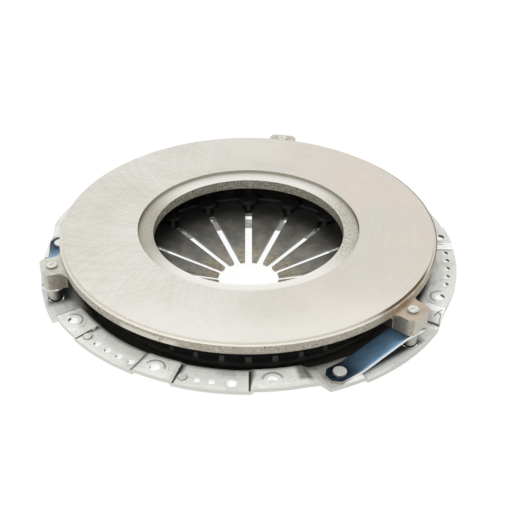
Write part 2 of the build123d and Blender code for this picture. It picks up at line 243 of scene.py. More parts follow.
# %% Light for the table and the tent
TABLE_SIZE = 6.0
TABLE_GAP = 0.0002  # under the part
TABLE_SEEN, TABLE_LIGHT = 0.93, 0.62
TENT_SEEN, TENT_LIGHT = 1.0, 0.74
WHITE = (1, 1, 1, 1)


def seen_or_light(tree, seen_strength, light_strength):
    """One strength for what the camera, metal and glass see, another for the light it sheds."""
    seen = 0.0
    for ray in ("Is Camera Ray", "Is Glossy Ray", "Is Transmission Ray"):
        hit = add_node(tree, "LightPath", pick=ray)
        seen = add_node(tree, "Math", seen, hit, operation="MAXIMUM")
    extra = seen_strength - light_strength
    return add_node(tree, "Math", seen, extra, light_strength, operation="MULTIPLY_ADD")


print("table and tent shine at", TABLE_LIGHT, "and", TENT_LIGHT)

# %% Set the table
OPAL = "#5a5a5a"
table_z = cad_box[0][2] - TABLE_GAP
bpy.ops.mesh.primitive_plane_add(size=TABLE_SIZE, location=(0, 0, table_z))
table = bpy.context.object
table.name = "light_table"
table_glow = bpy.data.materials.new("opal light table")
table_glow.use_nodes = True
tree = table_glow.node_tree
tree.nodes.clear()
glow = add_node(tree, "Emission", WHITE, seen_or_light(tree, TABLE_SEEN, TABLE_LIGHT))
opal = add_node(tree, "BsdfDiffuse", linear(OPAL))
add_node(tree, "OutputMaterial", add_node(tree, "AddShader", glow, opal))
table.data.materials.append(table_glow)
print("table at", round(table_z, 4))

# %% Raise the tent
world = bpy.data.worlds.new("white tent")
bpy.context.scene.world = world
world.use_nodes = True
tree = world.node_tree
tree.nodes.clear()
tent = add_node(tree, "Background", WHITE, seen_or_light(tree, TENT_SEEN, TENT_LIGHT))
add_node(tree, "OutputWorld", tent)
print(world.name)

# %% Hang the lamps
LAMPS = (  # name, place, size in metres, watts
    ("overhead_softbox", (0.0, 0.25, 1.6), 1.6, 2.0),
    ("front_softbox", (-0.7, -1.4, 1.1), 1.0, 9.6),
)
for name, place, size, watts in LAMPS:
    bpy.ops.object.light_add(type="AREA", location=place)
    lamp = bpy.context.object
    lamp.name = name
    lamp.data.energy = watts
    lamp.data.size = size
    lamp.rotation_euler = (-Vector(place)).to_track_quat("-Z", "Y").to_euler()
bpy.context.scene.view_settings.view_transform = "Standard"
print("lamps", [name for name, *_ in LAMPS])

# %% [markdown]
# ## Ground cast iron
# The pressure plate is grey iron, cast in sand, turned and then ground. Grinding leaves the
# friction face pale, with faint rings and crossing arcs. The step inside it is only turned, so it
# mirrors more. The rim, the bore and the lugs keep a grainy cast skin, and the back is painted near
# black as painted shade. These surfaces meet in one casting, so one material holds them all. Masks
# pick them by height, radius, bearing and the way they face, which needs no painting by hand.

# %% Measure the plate
FACE_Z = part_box("pressure_plate")[1].z
FACE_OUTER_R = 0.1822
FACE_INNER_R = 0.1096
BORE_R = 0.0945
RIM_R = 0.1854
RIM_BOTTOM_Z = FACE_Z - 0.0106
HAIR = 0.0002  # as near to an edge as a mask need tell
FIRST_LUG = math.radians(-41.5)
THIRD = math.tau / 3
print("friction face", round(2 * FACE_OUTER_R, 4), "to", round(2 * FACE_INNER_R, 4), "at", FACE_Z)

# %% Find the plate's surfaces
plate_iron, tree, shader = new_material("grey cast iron, turned and ground")
place, z, radius, bearing, facing, leaning = turned_place(tree)
face_up = mask(tree, (facing, 0.8, 0.95))
steepness = add_node(tree, "Math", facing, operation="ABSOLUTE")
upright = mask(tree, (steepness, 0.6, 0.3))
below_face = mask(tree, (z, FACE_Z - HAIR, FACE_Z - 2 * HAIR))
ground = mask(tree, face_up, (z, FACE_Z - 2 * HAIR, FACE_Z - HAIR))
recess = mask(tree, face_up, (radius, BORE_R, FACE_INNER_R, HAIR), below_face)
step = mask(tree, upright, (radius, FACE_INNER_R - HAIR, FACE_INNER_R + HAIR, HAIR))
bore = mask(tree, upright, (radius, BORE_R + 0.004, BORE_R + 0.001))
shoulder = mask(tree, face_up, (radius, FACE_OUTER_R + HAIR, RIM_R, HAIR), below_face)
groove = mask(tree, upright, (radius, FACE_OUTER_R - HAIR, FACE_OUTER_R + HAIR, HAIR))
lug_top = mask(tree, face_up, (radius, RIM_R, RIM_R + HAIR))
lug_side = mask(tree, upright, (radius, RIM_R + 0.0003, RIM_R + 0.001))
back = mask(
    tree,
    (radius, RIM_R - 0.0002, RIM_R - 0.0007),
    (radius, BORE_R + 0.0005, BORE_R + 0.003),
    (z, RIM_BOTTOM_Z + 0.0008, RIM_BOTTOM_Z + 0.0002),
)
print(len(tree.nodes), "nodes tell the surfaces apart")

# %% Find its sides, as the part lies
eastward = add_node(tree, "Math", bearing, operation="COSINE")
northward = add_node(tree, "Math", bearing, operation="SINE")
right_side = mask(tree, (eastward, -0.2, 0.95))
east_side = mask(tree, (eastward, 0.45, 0.85))
west_side = mask(tree, (eastward, 0.2, -0.7))
far_side = mask(tree, (northward, -0.1, 0.5))
near_side = mask(tree, (northward, -0.5, -0.95))
flush = mask(tree, east_side, (northward, -0.55, -0.3))  # where the shoulder looks nearly level
print("five sides, and the flush stretch of the shoulder")

# %% [markdown]
# ### Marks of the mould, the lathe and the wheel
# Noise gives every mark, so no image is needed and the marks run on round every edge. A cutter's
# marks are rings, so their noise is drawn out round the axis. A scale counts patches to a metre,
# so 650 is sand of 1.5 mm. The rings are drawn coarser than real ones, which are too fine to show.

# %% Grow its marks
ARC_SWEEP = 3.2


def crossing_arcs(sweep):
    """Faint scratches along arcs that turn by that many radians for each metre outwards."""
    swept = add_node(tree, "Math", radius, sweep, bearing, operation="MULTIPLY_ADD")
    return turned_streaks(tree, radius, swept, 22.0, 55.0, 2.0)  # 3 mm apart


rings = turned_streaks(tree, radius, bearing, 520.0, 2.6)  # 2 mm apart
arcs = add_node(
    tree, "Math", crossing_arcs(ARC_SWEEP), crossing_arcs(-ARC_SWEEP), operation="ADD"
)
clouds = add_node(tree, "TexNoise", place, 13.0, 4.0)  # 77 mm
grain = add_node(tree, "TexNoise", place, 650.0, 4.0, 0.7)  # 1.5 mm, with finer sand in it
coarse = add_node(tree, "TexNoise", place, 90.0, 4.0, 0.6)  # 11 mm
sandy = mask(tree, (grain, 0.38, 0.66))
pits = mask(tree, (add_node(tree, "TexNoise", place, 260.0, 2.0), 0.34, 0.27))  # 4 mm
print(len(tree.nodes), "nodes with the marks")

# %% [markdown]
# ### Colours of the iron
# Each surface's colour is made first, and then all of them are laid on one another by their masks.
# The wheel left the left side streaky, and the right side is a little browner. Turned faces are
# painted paler at the near and far ends than at the sides, as painted reflection, so their colours change
# round the axis.

# %% Colour the ground face
ground_tone = lay(tree, "#e2e0d8", (right_side, "#e0d3c6"))
ground_tone = lay(tree, ground_tone, (mask(tree, (clouds, 0.35, 0.72)), "#d6d2c8"))
ring_tone = lay(tree, "#cbc6bb", (mask(tree, (rings, 0.3, 0.7)), "#ebe9e2"))
arc_tone = lay(tree, "#c6c1b6", (mask(tree, (arcs, 0.8, 1.2)), "#eeece6"))
arc_share = add_node(tree, "Math", west_side, 0.17, 0.05, operation="MULTIPLY_ADD")
# Painted light: the ground face is paler towards its near edge.
near_edge_light = mask(tree, near_side, (radius, 0.125, 0.178), 0.5)
ground_tone = lay(
    tree, ground_tone, (0.12, ring_tone), (arc_share, arc_tone), (near_edge_light, "#f2f0ea")
)
print(len(tree.nodes), "nodes with the ground face")

# %% Colour the cast skin, the lugs and the bore
cast_tone = lay(tree, "#c2bcae", (sandy, "#8f8a7c"))
cast_tone = lay(tree, cast_tone, (mask(tree, (coarse, 0.45, 0.72)), "#a9a496"), (pits, "#5d584d"))
lug_tone = lay(tree, "#d8d7cc", (right_side, "#c6b39d"))
lug_blotch = lay(tree, "#c5c3b8", (right_side, "#aea392"))
lug_tone = lay(tree, lug_tone, (mask(tree, (coarse, 0.4, 0.7)), lug_blotch))
# Painted light: the bore is paler on its far side, which faces the lamps.
bore_lit_tone = lay(tree, "#726e60", (far_side, "#b9b6a8"), (sandy, "#58564a"))
print(len(tree.nodes), "nodes with the cast skin")

# %% Colour the turned recess, step, shoulder and groove
swing = add_node(tree, "Math", northward, operation="ABSOLUTE")
recess_end_reflection = mask(tree, (swing, 0.25, 0.85))
# Painted reflection: the recess is paler at its near and far ends.
recess_tone = lay(
    tree, "#bdb9aa", (right_side, "#d8d5c9"), (sandy, "#a7a394"), (recess_end_reflection, "#f1efe9")
)
# Painted shade: the step wall is dark brown, and paler only on its far side, which faces the lamps.
step_shade_tone = lay(tree, "#2e271d", (far_side, "#9d9a8c"))
edge_glint = mask(tree, step, far_side, (z, FACE_Z - 0.0009, FACE_Z - 0.0006))
# Painted light: the shoulder is paler on the near side. Painted shade: the groove is dark on the east side,
# except on the flush stretch.
shoulder_lit_tone = lay(
    tree, "#dedbd1", (near_side, "#f2f0e9"), (east_side, "#d3c9ba"), (flush, "#dad3c8")
)
groove_shade_tone = lay(tree, "#dcd8cd", (east_side, "#4d4436"), (flush, "#d6cdc1"))
outer_line = mask(tree, flush, face_up, (radius, RIM_R - 0.0007, RIM_R, 0.0004))
print(len(tree.nodes), "nodes with the turned faces")

# %% Lay the colours on their surfaces
tone = lay(
    tree,
    cast_tone,
    (lug_top, lug_tone),
    (ground, ground_tone),
    (recess, recess_tone),
    (step, step_shade_tone),
    (edge_glint, "#f6f5f0"),
    (bore, bore_lit_tone),
    (shoulder, shoulder_lit_tone),
    (groove, groove_shade_tone),
    (outer_line, "#5d5345"),
)
print(len(tree.nodes), "nodes with the colours")

# %% [markdown]
# ### Rust, sand, and painted light and shade
# A little rust sits on the rim by the right lug. The roots of the lugs get painted shade with sand pits in
# it, their outermost faces get a painted highlight, and the back gets painted shade. Painting these by hand
# would need a map of the whole casting, but a few bands of bearing, radius and height find the same places.

# %% Add rust by the right lug
RUST_FROM, RUST_TO = -0.80, -0.52  # bearings in radians
rust = mask(
    tree,
    (bearing, RUST_FROM, RUST_TO, 0.12),
    (radius, FACE_OUTER_R - HAIR, FACE_OUTER_R + 0.0012, 0.0012),
    (z, RIM_BOTTOM_Z + 0.003, FACE_Z - 0.003),
    below_face,
    0.9,
)
flare = mask(
    tree,
    (bearing, FIRST_LUG - 0.14, FIRST_LUG + 0.16, 0.05),
    (radius, RIM_R - 0.001, RIM_R + 0.002, 0.002),
    (coarse, 0.35, 0.55),
    below_face,
    0.5,
)
tone = lay(tree, tone, (rust, "#7c6747"), (flare, "#9a7d5e"))
print("rust from", RUST_FROM, "to", RUST_TO, "radians")

# %% Shade the sides of the lugs
LUG_ROOT_R, LUG_MIDDLE_R, LUG_TIP_R = 0.187, 0.197, 0.2035
ROOT_FADE_R = 0.200
lug_shade_and_sand = add_node(tree, "Math", west_side, -0.45, 1.0, operation="MULTIPLY_ADD")
lug_shade_and_sand = mask(tree, lug_side, lug_shade_and_sand)
# Painted shade darkens the lugs' roots and their sideways faces near the tips, less on the west lug, with
# sand pits in it. Painted light pales the outermost faces and the west lug's sides.
tone = lay(
    tree,
    tone,
    (mask(tree, lug_shade_and_sand, (radius, ROOT_FADE_R, LUG_ROOT_R), 0.6), "#4f4b42"),
    (mask(tree, lug_shade_and_sand, (grain, 0.5, 0.68), 0.55), "#62574a"),
    (
        mask(tree, lug_shade_and_sand, (leaning, 0.85, 0.35), (radius, LUG_TIP_R, LUG_MIDDLE_R), 0.55),
        "#5b564a",
    ),
    (mask(tree, lug_side, (leaning, 0.8, 0.97), 0.6), "#d9d6ca"),
    (mask(tree, lug_side, west_side, (leaning, 0.3, 0.85), 0.6), "#d4d1c6"),
)
print("lugs shaded from", LUG_ROOT_R, "to", LUG_TIP_R)

# %% Add a light patch on the rim and painted shade on the back
PATCH_FROM, PATCH_TO = -2.19, -1.93  # bearings in radians
RIDGE_R = 0.166
patch = mask(
    tree,
    (bearing, PATCH_FROM, PATCH_TO, 0.05),
    (coarse, 0.42, 0.5),
    (z, FACE_Z - 0.004, FACE_Z - 0.0065),
    upright,
    0.7,
)
under_rim = mask(tree, (z, RIM_BOTTOM_Z - 0.0015, RIM_BOTTOM_Z - 0.005))
ridge = mask(tree, (radius, RIDGE_R, RIDGE_R - 0.003))
# Painted shade on the back: cast colour just under the rim, near black lower down, darkest on the ridge.
back_shade_tone = lay(tree, "#b5b0a2", (under_rim, "#26241f"), (ridge, "#0b0a09"))
tone = lay(tree, tone, (patch, "#e2dfd5"), (back, back_shade_tone))
print("the back is black inside", RIDGE_R)

# %% Finish the iron
IRON_BUMP = 0.00012
shallow_rings = add_node(tree, "Math", rings, 0.2, operation="MULTIPLY")
height = lay(tree, grain, (ground, shallow_rings))
rough = add_node(tree, "Math", face_up, -0.14, 0.64, operation="MULTIPLY_ADD")
rough = add_node(tree, "Math", back, 0.2, rough, operation="MULTIPLY_ADD")
metallic = add_node(tree, "Math", back, -0.4, 0.45, operation="MULTIPLY_ADD")
finish_shader(tree, shader, tone, rough, metallic, height, IRON_BUMP)
wear("pressure_plate", plate_iron)
print(plate_iron.name, "with", len(tree.nodes), "nodes")

# %% [markdown]
# ## Stamped and phosphated steel
# The cover is pressed from sheet steel and zinc phosphated, which leaves a pale satin grey. The
# press draws faint streaks round the flange, a dark line of painted shade marks the fold at the foot of each
# ramp, and the coined face round each bolt hole pushes a crescent of metal inwards. The inside gets
# painted shade. Every third of the cover is alike, so a mark is placed once, by its bearing past the
# nearest lug.

# %% Find the cover's folds and holes
FLANGE_R = 0.2075
LIP_R = 0.186
BOLT_CIRCLE_R = 0.1975
LUG_RIVET_R = 0.1954
PAD_LOW_Z = -0.0022
SEAT_Z = -0.0114
RAMP_OUTER_R = 0.205
STRAP_SPAN = math.radians(24.5)  # round the axis, from a strap's seat to its lug

cover_steel, tree, shader = new_material("stamped steel, zinc phosphated")
place, z, radius, bearing, facing, leaning = turned_place(tree)
eastward = add_node(tree, "Math", bearing, operation="COSINE")


def folded(spacing, centre):
    """Bearing from the nearest of the places that repeat that often, in radians."""
    ahead = add_node(tree, "Math", bearing, centre - spacing / 2, operation="SUBTRACT")
    turned = add_node(tree, "Math", ahead, spacing, operation="FLOORED_MODULO")
    return add_node(tree, "Math", turned, spacing / 2, operation="SUBTRACT")


def past_lug(degrees):
    """Bearing from the nearest place that many degrees past a lug, in radians."""
    return folded(THIRD, FIRST_LUG + math.radians(degrees))


def from_hole(circle_r, spacing, centre):
    """Distance outwards, and distance in all, from the middle of the nearest repeated hole."""
    turned = folded(spacing, centre)
    out = add_node(tree, "Math", turned, operation="COSINE")
    out = add_node(tree, "Math", radius, out, operation="MULTIPLY")
    out = add_node(tree, "Math", out, circle_r, operation="SUBTRACT")
    across = add_node(tree, "Math", turned, operation="SINE")
    across = add_node(tree, "Math", radius, across, operation="MULTIPLY")
    offset = add_node(tree, "CombineXYZ", out, across)
    return out, add_node(tree, "VectorMath", offset, operation="LENGTH")


print("straps span", round(math.degrees(STRAP_SPAN), 1), "degrees")

# %% Colour the sheet
face_up = mask(tree, (facing, 0.75, 0.95))
upright = mask(tree, (add_node(tree, "Math", facing, operation="ABSOLUTE"), 0.5, 0.2))
upward = mask(tree, (facing, 0.0, 0.3))
streaks = turned_streaks(tree, radius, bearing, 420.0, 7.0)  # 2 mm apart
smudges = add_node(tree, "TexNoise", place, 32.0, 5.0, 0.65)  # 31 mm
specks = add_node(tree, "TexNoise", place, 420.0, 2.0)  # 2 mm
grain = add_node(tree, "TexNoise", place, 900.0, 3.0, 0.6)  # 1 mm, coarser than real crystals
tone = lay(
    tree,
    "#efefe9",
    (mask(tree, (streaks, 0.3, 0.7)), "#fbfbf7"),
    (mask(tree, (smudges, 0.52, 0.78)), "#dad9d2"),
    (mask(tree, (radius, 0.193, LIP_R), (smudges, 0.46, 0.7), 0.25), "#8b897f"),
    (mask(tree, (specks, 0.33, 0.27), 0.5), "#6d6b63"),
)
print(len(tree.nodes), "nodes with the sheet's colours")

# %% [markdown]
# ### Folds with painted shade, and ramps with painted highlights
# A fold is sharp where the level sheet ends and soft where the ramp begins, and it spreads towards
# the lip. Its shade is painted as a dark line with a hard and a soft side, because the pressed sheet is too
# smooth there for light alone to show it. A few ramps get a painted highlight.

# %% Paint shade along the folds
CREASE_SHADES = (  # degrees past the lug, spread at the lip in degrees, depth of shade
    (10.0, 0.1, 0.9),
    (23.35, 1.2, 0.95),
    (42.2, 1.7, 0.75),
    (53.35, 1.4, 1.0),
    (71.8, 1.9, 1.0),
    (101.2, 0.3, 0.7),
)
WEST_CREASE_SHADE = 13.1  # degrees past the left lug only
spreading = mask(tree, (radius, RAMP_OUTER_R, LIP_R + 0.001))
narrowing = mask(tree, (eastward, 0.3, 0.7))
narrowing = add_node(tree, "Math", narrowing, -0.88, 1.0, operation="MULTIPLY_ADD")
patchy = mask(tree, (add_node(tree, "TexNoise", place, 150.0, 2.0), 0.22, 0.4))  # 7 mm
on_flange = mask(tree, (radius, LIP_R - 0.006, LIP_R - 0.002), upward)


def crease_shade(offset, spread):
    """A line of painted shade across the flange, that many degrees past each lug, sharp on one side only."""
    past = add_node(tree, "Math", past_lug(offset), 180 / math.pi, operation="MULTIPLY")
    soft_side = add_node(tree, "Math", spreading, spread, 0.35, operation="MULTIPLY_ADD")
    soft_side = add_node(tree, "Math", soft_side, narrowing, operation="MULTIPLY")
    fall = add_node(tree, "Math", past, 0.1, operation="SUBTRACT")
    fall = add_node(tree, "Math", fall, soft_side, operation="DIVIDE")
    return mask(tree, (past, -0.35, -0.15), (fall, 1.0, 0.0))


# Painted shade: a dark line at the foot of each ramp, narrower on the east side.
for offset, spread, depth in CREASE_SHADES:
    share = mask(tree, crease_shade(offset, spread), patchy, on_flange, depth)
    tone = lay(tree, tone, (share, "#2d2b26"))
share = mask(tree, crease_shade(WEST_CREASE_SHADE, 0.2), patchy, on_flange, (eastward, -0.2, -0.6), 0.7)
tone = lay(tree, tone, (share, "#3a3831"))
print(len(CREASE_SHADES), "creases in each third")

# %% Paint highlights on some ramps and shade by the seats
LIT_RAMPS = ((8.7, 9.5), (10.6, 13.2), (42.6, 44.3))  # degrees past the right lug, painted bright
RAMP_SHADE_FROM, RAMP_SHADE_TO = 83.8, 88.0  # degrees past the lug, on the ramp down to the strap's seat
ramp_highlight = 0.0
# Painted highlight: a few ramps on the right side are painted white.
for start, end in LIT_RAMPS:
    half = math.radians((end - start) / 2)
    middle = past_lug((start + end) / 2)
    share = mask(tree, (middle, -half, half, half / 2), on_flange, 0.9, (eastward, 0.4, 0.7))
    tone = lay(tree, tone, (share, "#ffffff"))
    ramp_highlight = add_node(tree, "Math", ramp_highlight, share, operation="MAXIMUM")
# Painted shade, in patches, on the ramp down to the strap's seat.
ramp_shade = add_node(tree, "Math", past_lug((RAMP_SHADE_FROM + RAMP_SHADE_TO) / 2), operation="ABSOLUTE")
ramp_shade = mask(
    tree,
    (ramp_shade, math.radians(RAMP_SHADE_TO - RAMP_SHADE_FROM) * 0.6, math.radians(1.0)),
    (radius, 0.2035, 0.1975),
    (smudges, 0.2, 0.4),
    upward,
)
tone = lay(tree, tone, (ramp_shade, "#8e8c83"))
print(len(LIT_RAMPS), "ramps rubbed")

# %% Paint wrinkle shade on the ramp beside the right lug
WRINKLES = (  # start and end, as degrees past the lug and radius, then half width
    ((11.2, 0.2003), (12.6, 0.2052), 0.0004),
    ((12.0, 0.2020), (11.6, 0.2045), 0.00035),
    ((11.8, 0.2054), (10.3, 0.2064), 0.0004),
)
IN_PLAN = (1, 1, 0)
flat_place = add_node(tree, "VectorMath", place, IN_PLAN, operation="MULTIPLY")


def wrinkle_shade_line(start, end, half_width):
    """A short dark line between two places, each in degrees past the first lug and radius."""
    ends = []
    for past, r in (start, end):
        turn = FIRST_LUG + math.radians(past)
        ends.append(Vector((r * math.cos(turn), r * math.sin(turn), 0)))
    run = ends[1] - ends[0]
    offset = add_node(tree, "VectorMath", flat_place, ends[0], operation="SUBTRACT")
    along = run / run.length_squared
    along = add_node(tree, "VectorMath", offset, along, operation="DOT_PRODUCT")
    along = add_node(tree, "Clamp", along)
    nearest = add_node(tree, "VectorMath", run, along, operation="SCALE")
    away = add_node(tree, "VectorMath", offset, nearest, operation="DISTANCE")
    return mask(tree, (away, half_width * 1.6, half_width * 0.6))


# A wrinkle's shade is painted as a short dark line.
for start, end, half_width in WRINKLES:
    share = mask(tree, wrinkle_shade_line(start, end, half_width), upward, 0.8)
    tone = lay(tree, tone, (share, "#55524a"))
print(len(WRINKLES), "wrinkles")

# %% Coin the bolt pads
FIRST_BOLT = FIRST_LUG + math.radians(17.5)
on_pad = mask(tree, (z, PAD_LOW_Z, PAD_LOW_Z + 0.001), face_up)
out, from_bolt = from_hole(BOLT_CIRCLE_R, THIRD / 4, FIRST_BOLT)
crescent = mask(tree, (from_bolt, 0.0084, 0.0090, 0.0016), (out, 0.001, -0.004), on_pad)
washer = mask(tree, (from_bolt, 0.0050, 0.0072, 0.0006), on_pad, 0.35)
tone = lay(tree, tone, (mask(tree, crescent, 0.75), "#8b897c"), (washer, "#fdfdfb"))
print("first bolt at", round(math.degrees(FIRST_BOLT), 1), "degrees")

# %% [markdown]
# ### Shade in and under the sheet
# A punched wall is bare and bright, but the upper part of its outer side, which faces the axis, gets
# painted shade. What lies under the straps and deep in the dish gets painted shade as well. Masks of
# height, radius and facing find all of it, so the sheet's own mesh stays as it was cut.

# %% Find the edges and the walls of the holes
TAIL_HOLE_R = 0.0077
_, from_tail = from_hole(LUG_RIVET_R, THIRD, FIRST_LUG)
tail_wall_shade = mask(tree, upright, (from_tail, TAIL_HOLE_R + 0.0009, TAIL_HOLE_R + 0.0005))
sheet_edge = mask(tree, upright, (radius, FLANGE_R - 0.0006, FLANGE_R - 0.0003))
hole_wall = mask(tree, upright, (radius, LIP_R, RAMP_OUTER_R, 0.001))
pad_depth = mask(tree, (z, -0.0030, -0.0020))
low_depth = mask(tree, (z, -0.0060, -0.0048), (from_bolt, 0.010, 0.012))
hole_top = add_node(tree, "Math", pad_depth, low_depth, operation="MAXIMUM")
hole_shade = mask(tree, hole_wall, (leaning, 0.3, -0.2), hole_top)
print("tail holes of", round(2 * TAIL_HOLE_R, 4))

# %% Find what lies under the straps and inside the dish
STRAP_MIDDLE = FIRST_LUG - STRAP_SPAN / 2
STRAP_MIDDLE_R = 0.1905
SEAT_PAST_LUG = 95  # degrees
strap_out, _ = from_hole(STRAP_MIDDLE_R, THIRD, STRAP_MIDDLE)
strap_along = add_node(tree, "Math", folded(THIRD, STRAP_MIDDLE), operation="ABSOLUTE")
strap_shade = mask(
    tree,
    (strap_out, 0.0105, 0.0045),
    (strap_along, math.radians(17.0), math.radians(13.5)),
    (z, -0.0118, -0.0128),
    upward,
    0.95,
)
# Darker in smudges round the strap's seat.
seat_darkening = mask(
    tree,
    (z, SEAT_Z - 0.0006, SEAT_Z + 0.0006, 0.0004),
    (past_lug(SEAT_PAST_LUG), math.radians(2.5), math.radians(-2.0)),
    (smudges, 0.28, 0.52),
    upward,
    0.55,
)
inside = mask(tree, (radius, 0.1865, 0.1765), (radius, 0.1115, 0.1150), (facing, 0.0, 0.2))
curl = mask(tree, (radius, 0.1125, 0.1105), (facing, 0.0, 0.2))
print("first strap's middle at", round(math.degrees(STRAP_MIDDLE), 1), "degrees")

# %% Shade the holes, the edges and the inside
# Painted shade under the straps, on the holes' upper walls, on the tail holes' walls and inside the dish.
tone = lay(
    tree,
    tone,
    (strap_shade, "#151412"),
    (seat_darkening, "#8a877c"),
    (sheet_edge, "#d3d1c9"),
    (hole_wall, "#ffffff"),
    (hole_shade, "#3b3933"),
    (tail_wall_shade, "#12110f"),
    (inside, "#9a988f"),
    (mask(tree, inside, (radius, 0.172, 0.160)), "#45433e"),
    (curl, "#f4f4f2"),
)
print(len(tree.nodes), "nodes with the shades")

# %% Finish the sheet
# Punched walls, ramps with a painted highlight and the curl are bare and mirror the tent. The rest is satin.
SHEET_BUMP = 0.0001
rough = add_node(tree, "Math", smudges, 0.16, 0.42, operation="MULTIPLY_ADD")
rough = add_node(tree, "Math", curl, -0.25, rough, operation="MULTIPLY_ADD")
lit = add_node(tree, "Math", 1.0, hole_shade, operation="SUBTRACT")
polished = add_node(tree, "Math", curl, mask(tree, hole_wall, lit), operation="MAXIMUM")
polished = add_node(tree, "Math", polished, mask(tree, ramp_highlight, 0.7), operation="MAXIMUM")
metallic = add_node(tree, "Math", polished, 0.85, 0.05, operation="MULTIPLY_ADD")
height = add_node(tree, "Math", crescent, 2.0, grain, operation="MULTIPLY_ADD")
finish_shader(tree, shader, tone, rough, metallic, height, SHEET_BUMP)
wear("cover", cover_steel)
print(cover_steel.name, "with", len(tree.nodes), "nodes")

# %% [markdown]
# ## Steel below, painted dark
# The fulcrum rings and the pivot rivets work inside the dish, and they are painted nearly black as
# painted shade. A little sheen is all that picks them out, so one blotchy dark film is enough.

# %% Darken the rings and the pivot rivets with painted shade
OIL_BUMP = 0.00005
shaded_ring_steel, tree, shader = new_material("ring wire and rivet steel in painted shade")
place = add_node(tree, "TexCoord", pick="Object")
film = add_node(tree, "TexNoise", place, 120.0, 3.0)  # 8 mm
tone = lay(tree, "#100f0e", (mask(tree, (film, 0.35, 0.7)), "#1f1d1b"))
rough = add_node(tree, "Math", film, 0.2, 0.6, operation="MULTIPLY_ADD")
finish_shader(tree, shader, tone, rough, 0.1, film, OIL_BUMP, 0.4)
for name in ("pivot_rivets", "upper_fulcrum_ring", "lower_fulcrum_ring"):
    wear(name, shaded_ring_steel)
print(shaded_ring_steel.name)

# %% [markdown]
# ## Bright rivets
# The lug, strap and balance rivets are turned bright steel. Each lug rivet has a collar under its
# head and two small marks from the riveting tool in its middle, and its tail is painted near black at the
# end, as shade in the cover's hole.
# The marks are drawn by distance from two spots, because they are shallower than a mesh can show.

# %% Mark the rivet heads
LUG_HEAD_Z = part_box("right_lug_rivet")[1].z
COLLAR_TOP_Z = LUG_HEAD_Z - 0.0017
MARK_STEP = Vector((0.0012, 0.0004, 0))  # from the head's middle to each mark
bright, tree, shader = new_material("turned bright rivet steel")
place, z, _, _, facing, leaning = turned_place(tree)
flat_place = add_node(tree, "VectorMath", place, IN_PLAN, operation="MULTIPLY")
marks, from_lug_rivet = 0.0, 1.0
for number in range(3):
    turn = FIRST_LUG + THIRD * number
    middle = LUG_RIVET_R * Vector((math.cos(turn), math.sin(turn), 0))
    for spot, nearest_r, farthest_r in (
        (middle - MARK_STEP, 0.0005, 0.0010),
        (middle + MARK_STEP, 0.0003, 0.0008),
    ):
        away = add_node(tree, "VectorMath", flat_place, spot, operation="DISTANCE")
        mark = mask(tree, (away, farthest_r, nearest_r))
        marks = add_node(tree, "Math", marks, mark, operation="MAXIMUM")
        from_lug_rivet = add_node(tree, "Math", from_lug_rivet, away, operation="MINIMUM")
marks = mask(tree, marks, (z, LUG_HEAD_Z - 0.0004, LUG_HEAD_Z - 0.0002))
print("heads at", round(LUG_HEAD_Z, 4))

# %% Tell heads, collars and tails apart
below_lugs = mask(tree, (z, 0.004, 0.002))
on_lug_rivet = mask(tree, (from_lug_rivet, 0.010, 0.009))
head_side = mask(tree, (facing, 0.85, 0.5), (z, LUG_HEAD_Z - 0.004, LUG_HEAD_Z - 0.003))
collar_line = mask(
    tree, (z, COLLAR_TOP_Z - 0.0002, COLLAR_TOP_Z + 0.0004, 0.0002), (facing, 0.9, 0.6)
)
tail = mask(tree, below_lugs, on_lug_rivet)
# Painted shade: the tail is near black where it goes into the cover's hole.
tail_end_shade = mask(tree, (z, -0.0128, -0.0142), on_lug_rivet)
balance = mask(tree, below_lugs, (from_lug_rivet, 0.009, 0.010))
print("collars at", round(COLLAR_TOP_Z, 4))

# %% Turn the rivets bright
RIVET_BUMP = 0.00004
mottle = add_node(tree, "TexNoise", place, 300.0, 4.0)  # 3 mm
# Painted shade: a tail is darker on its side that faces the axis.
tail_shaded_tone = lay(tree, "#b9b7af", (mask(tree, (leaning, 0.6, -0.3)), "#45433e"))
# Painted light and shade: a balance rivet's top is pale and its sides are dark.
balance_lit_tone = lay(tree, "#8d8a80", (mask(tree, (facing, 0.6, 0.9)), "#f6f5ef"))
# Painted shade: head sides are darker than the tops, with a dark line under each head.
tone = lay(
    tree,
    "#e6e4dd",
    (mask(tree, (mottle, 0.35, 0.7)), "#cfccc3"),
    (tail, tail_shaded_tone),
    (balance, balance_lit_tone),
    (mask(tree, marks, 0.85), "#33302b"),
    (head_side, "#9a9589"),
    (collar_line, "#2f2c27"),
    (tail_end_shade, "#0d0d0c"),
)
rough = add_node(tree, "Math", mottle, 0.2, 0.24, operation="MULTIPLY_ADD")
height = add_node(tree, "Math", marks, -4.0, mottle, operation="MULTIPLY_ADD")
finish_shader(tree, shader, tone, rough, 0.35, height, RIVET_BUMP, 0.4)
for name in nodes:
    if name.endswith(("lug_rivet", "strap_rivet")) or name == "balance_rivets":
        wear(name, bright)
print(bright.name, "with", len(tree.nodes), "nodes")

# %% [markdown]
# ## Blued strap leaves
# Each drive strap is a pack of three spring-steel leaves, blued by heat and sheared from strip, so
# their edges are bare and bright. A leaf is a flat strip with its corners cut off and a hole at
# each end. It is bent along a curve, as in a press, and it goes on bending as the plate moves: the
# seat end stays on the cover and the other end follows its lug. Corners and holes are cut while
# the strip is flat, which is easy, and only then is it bent.

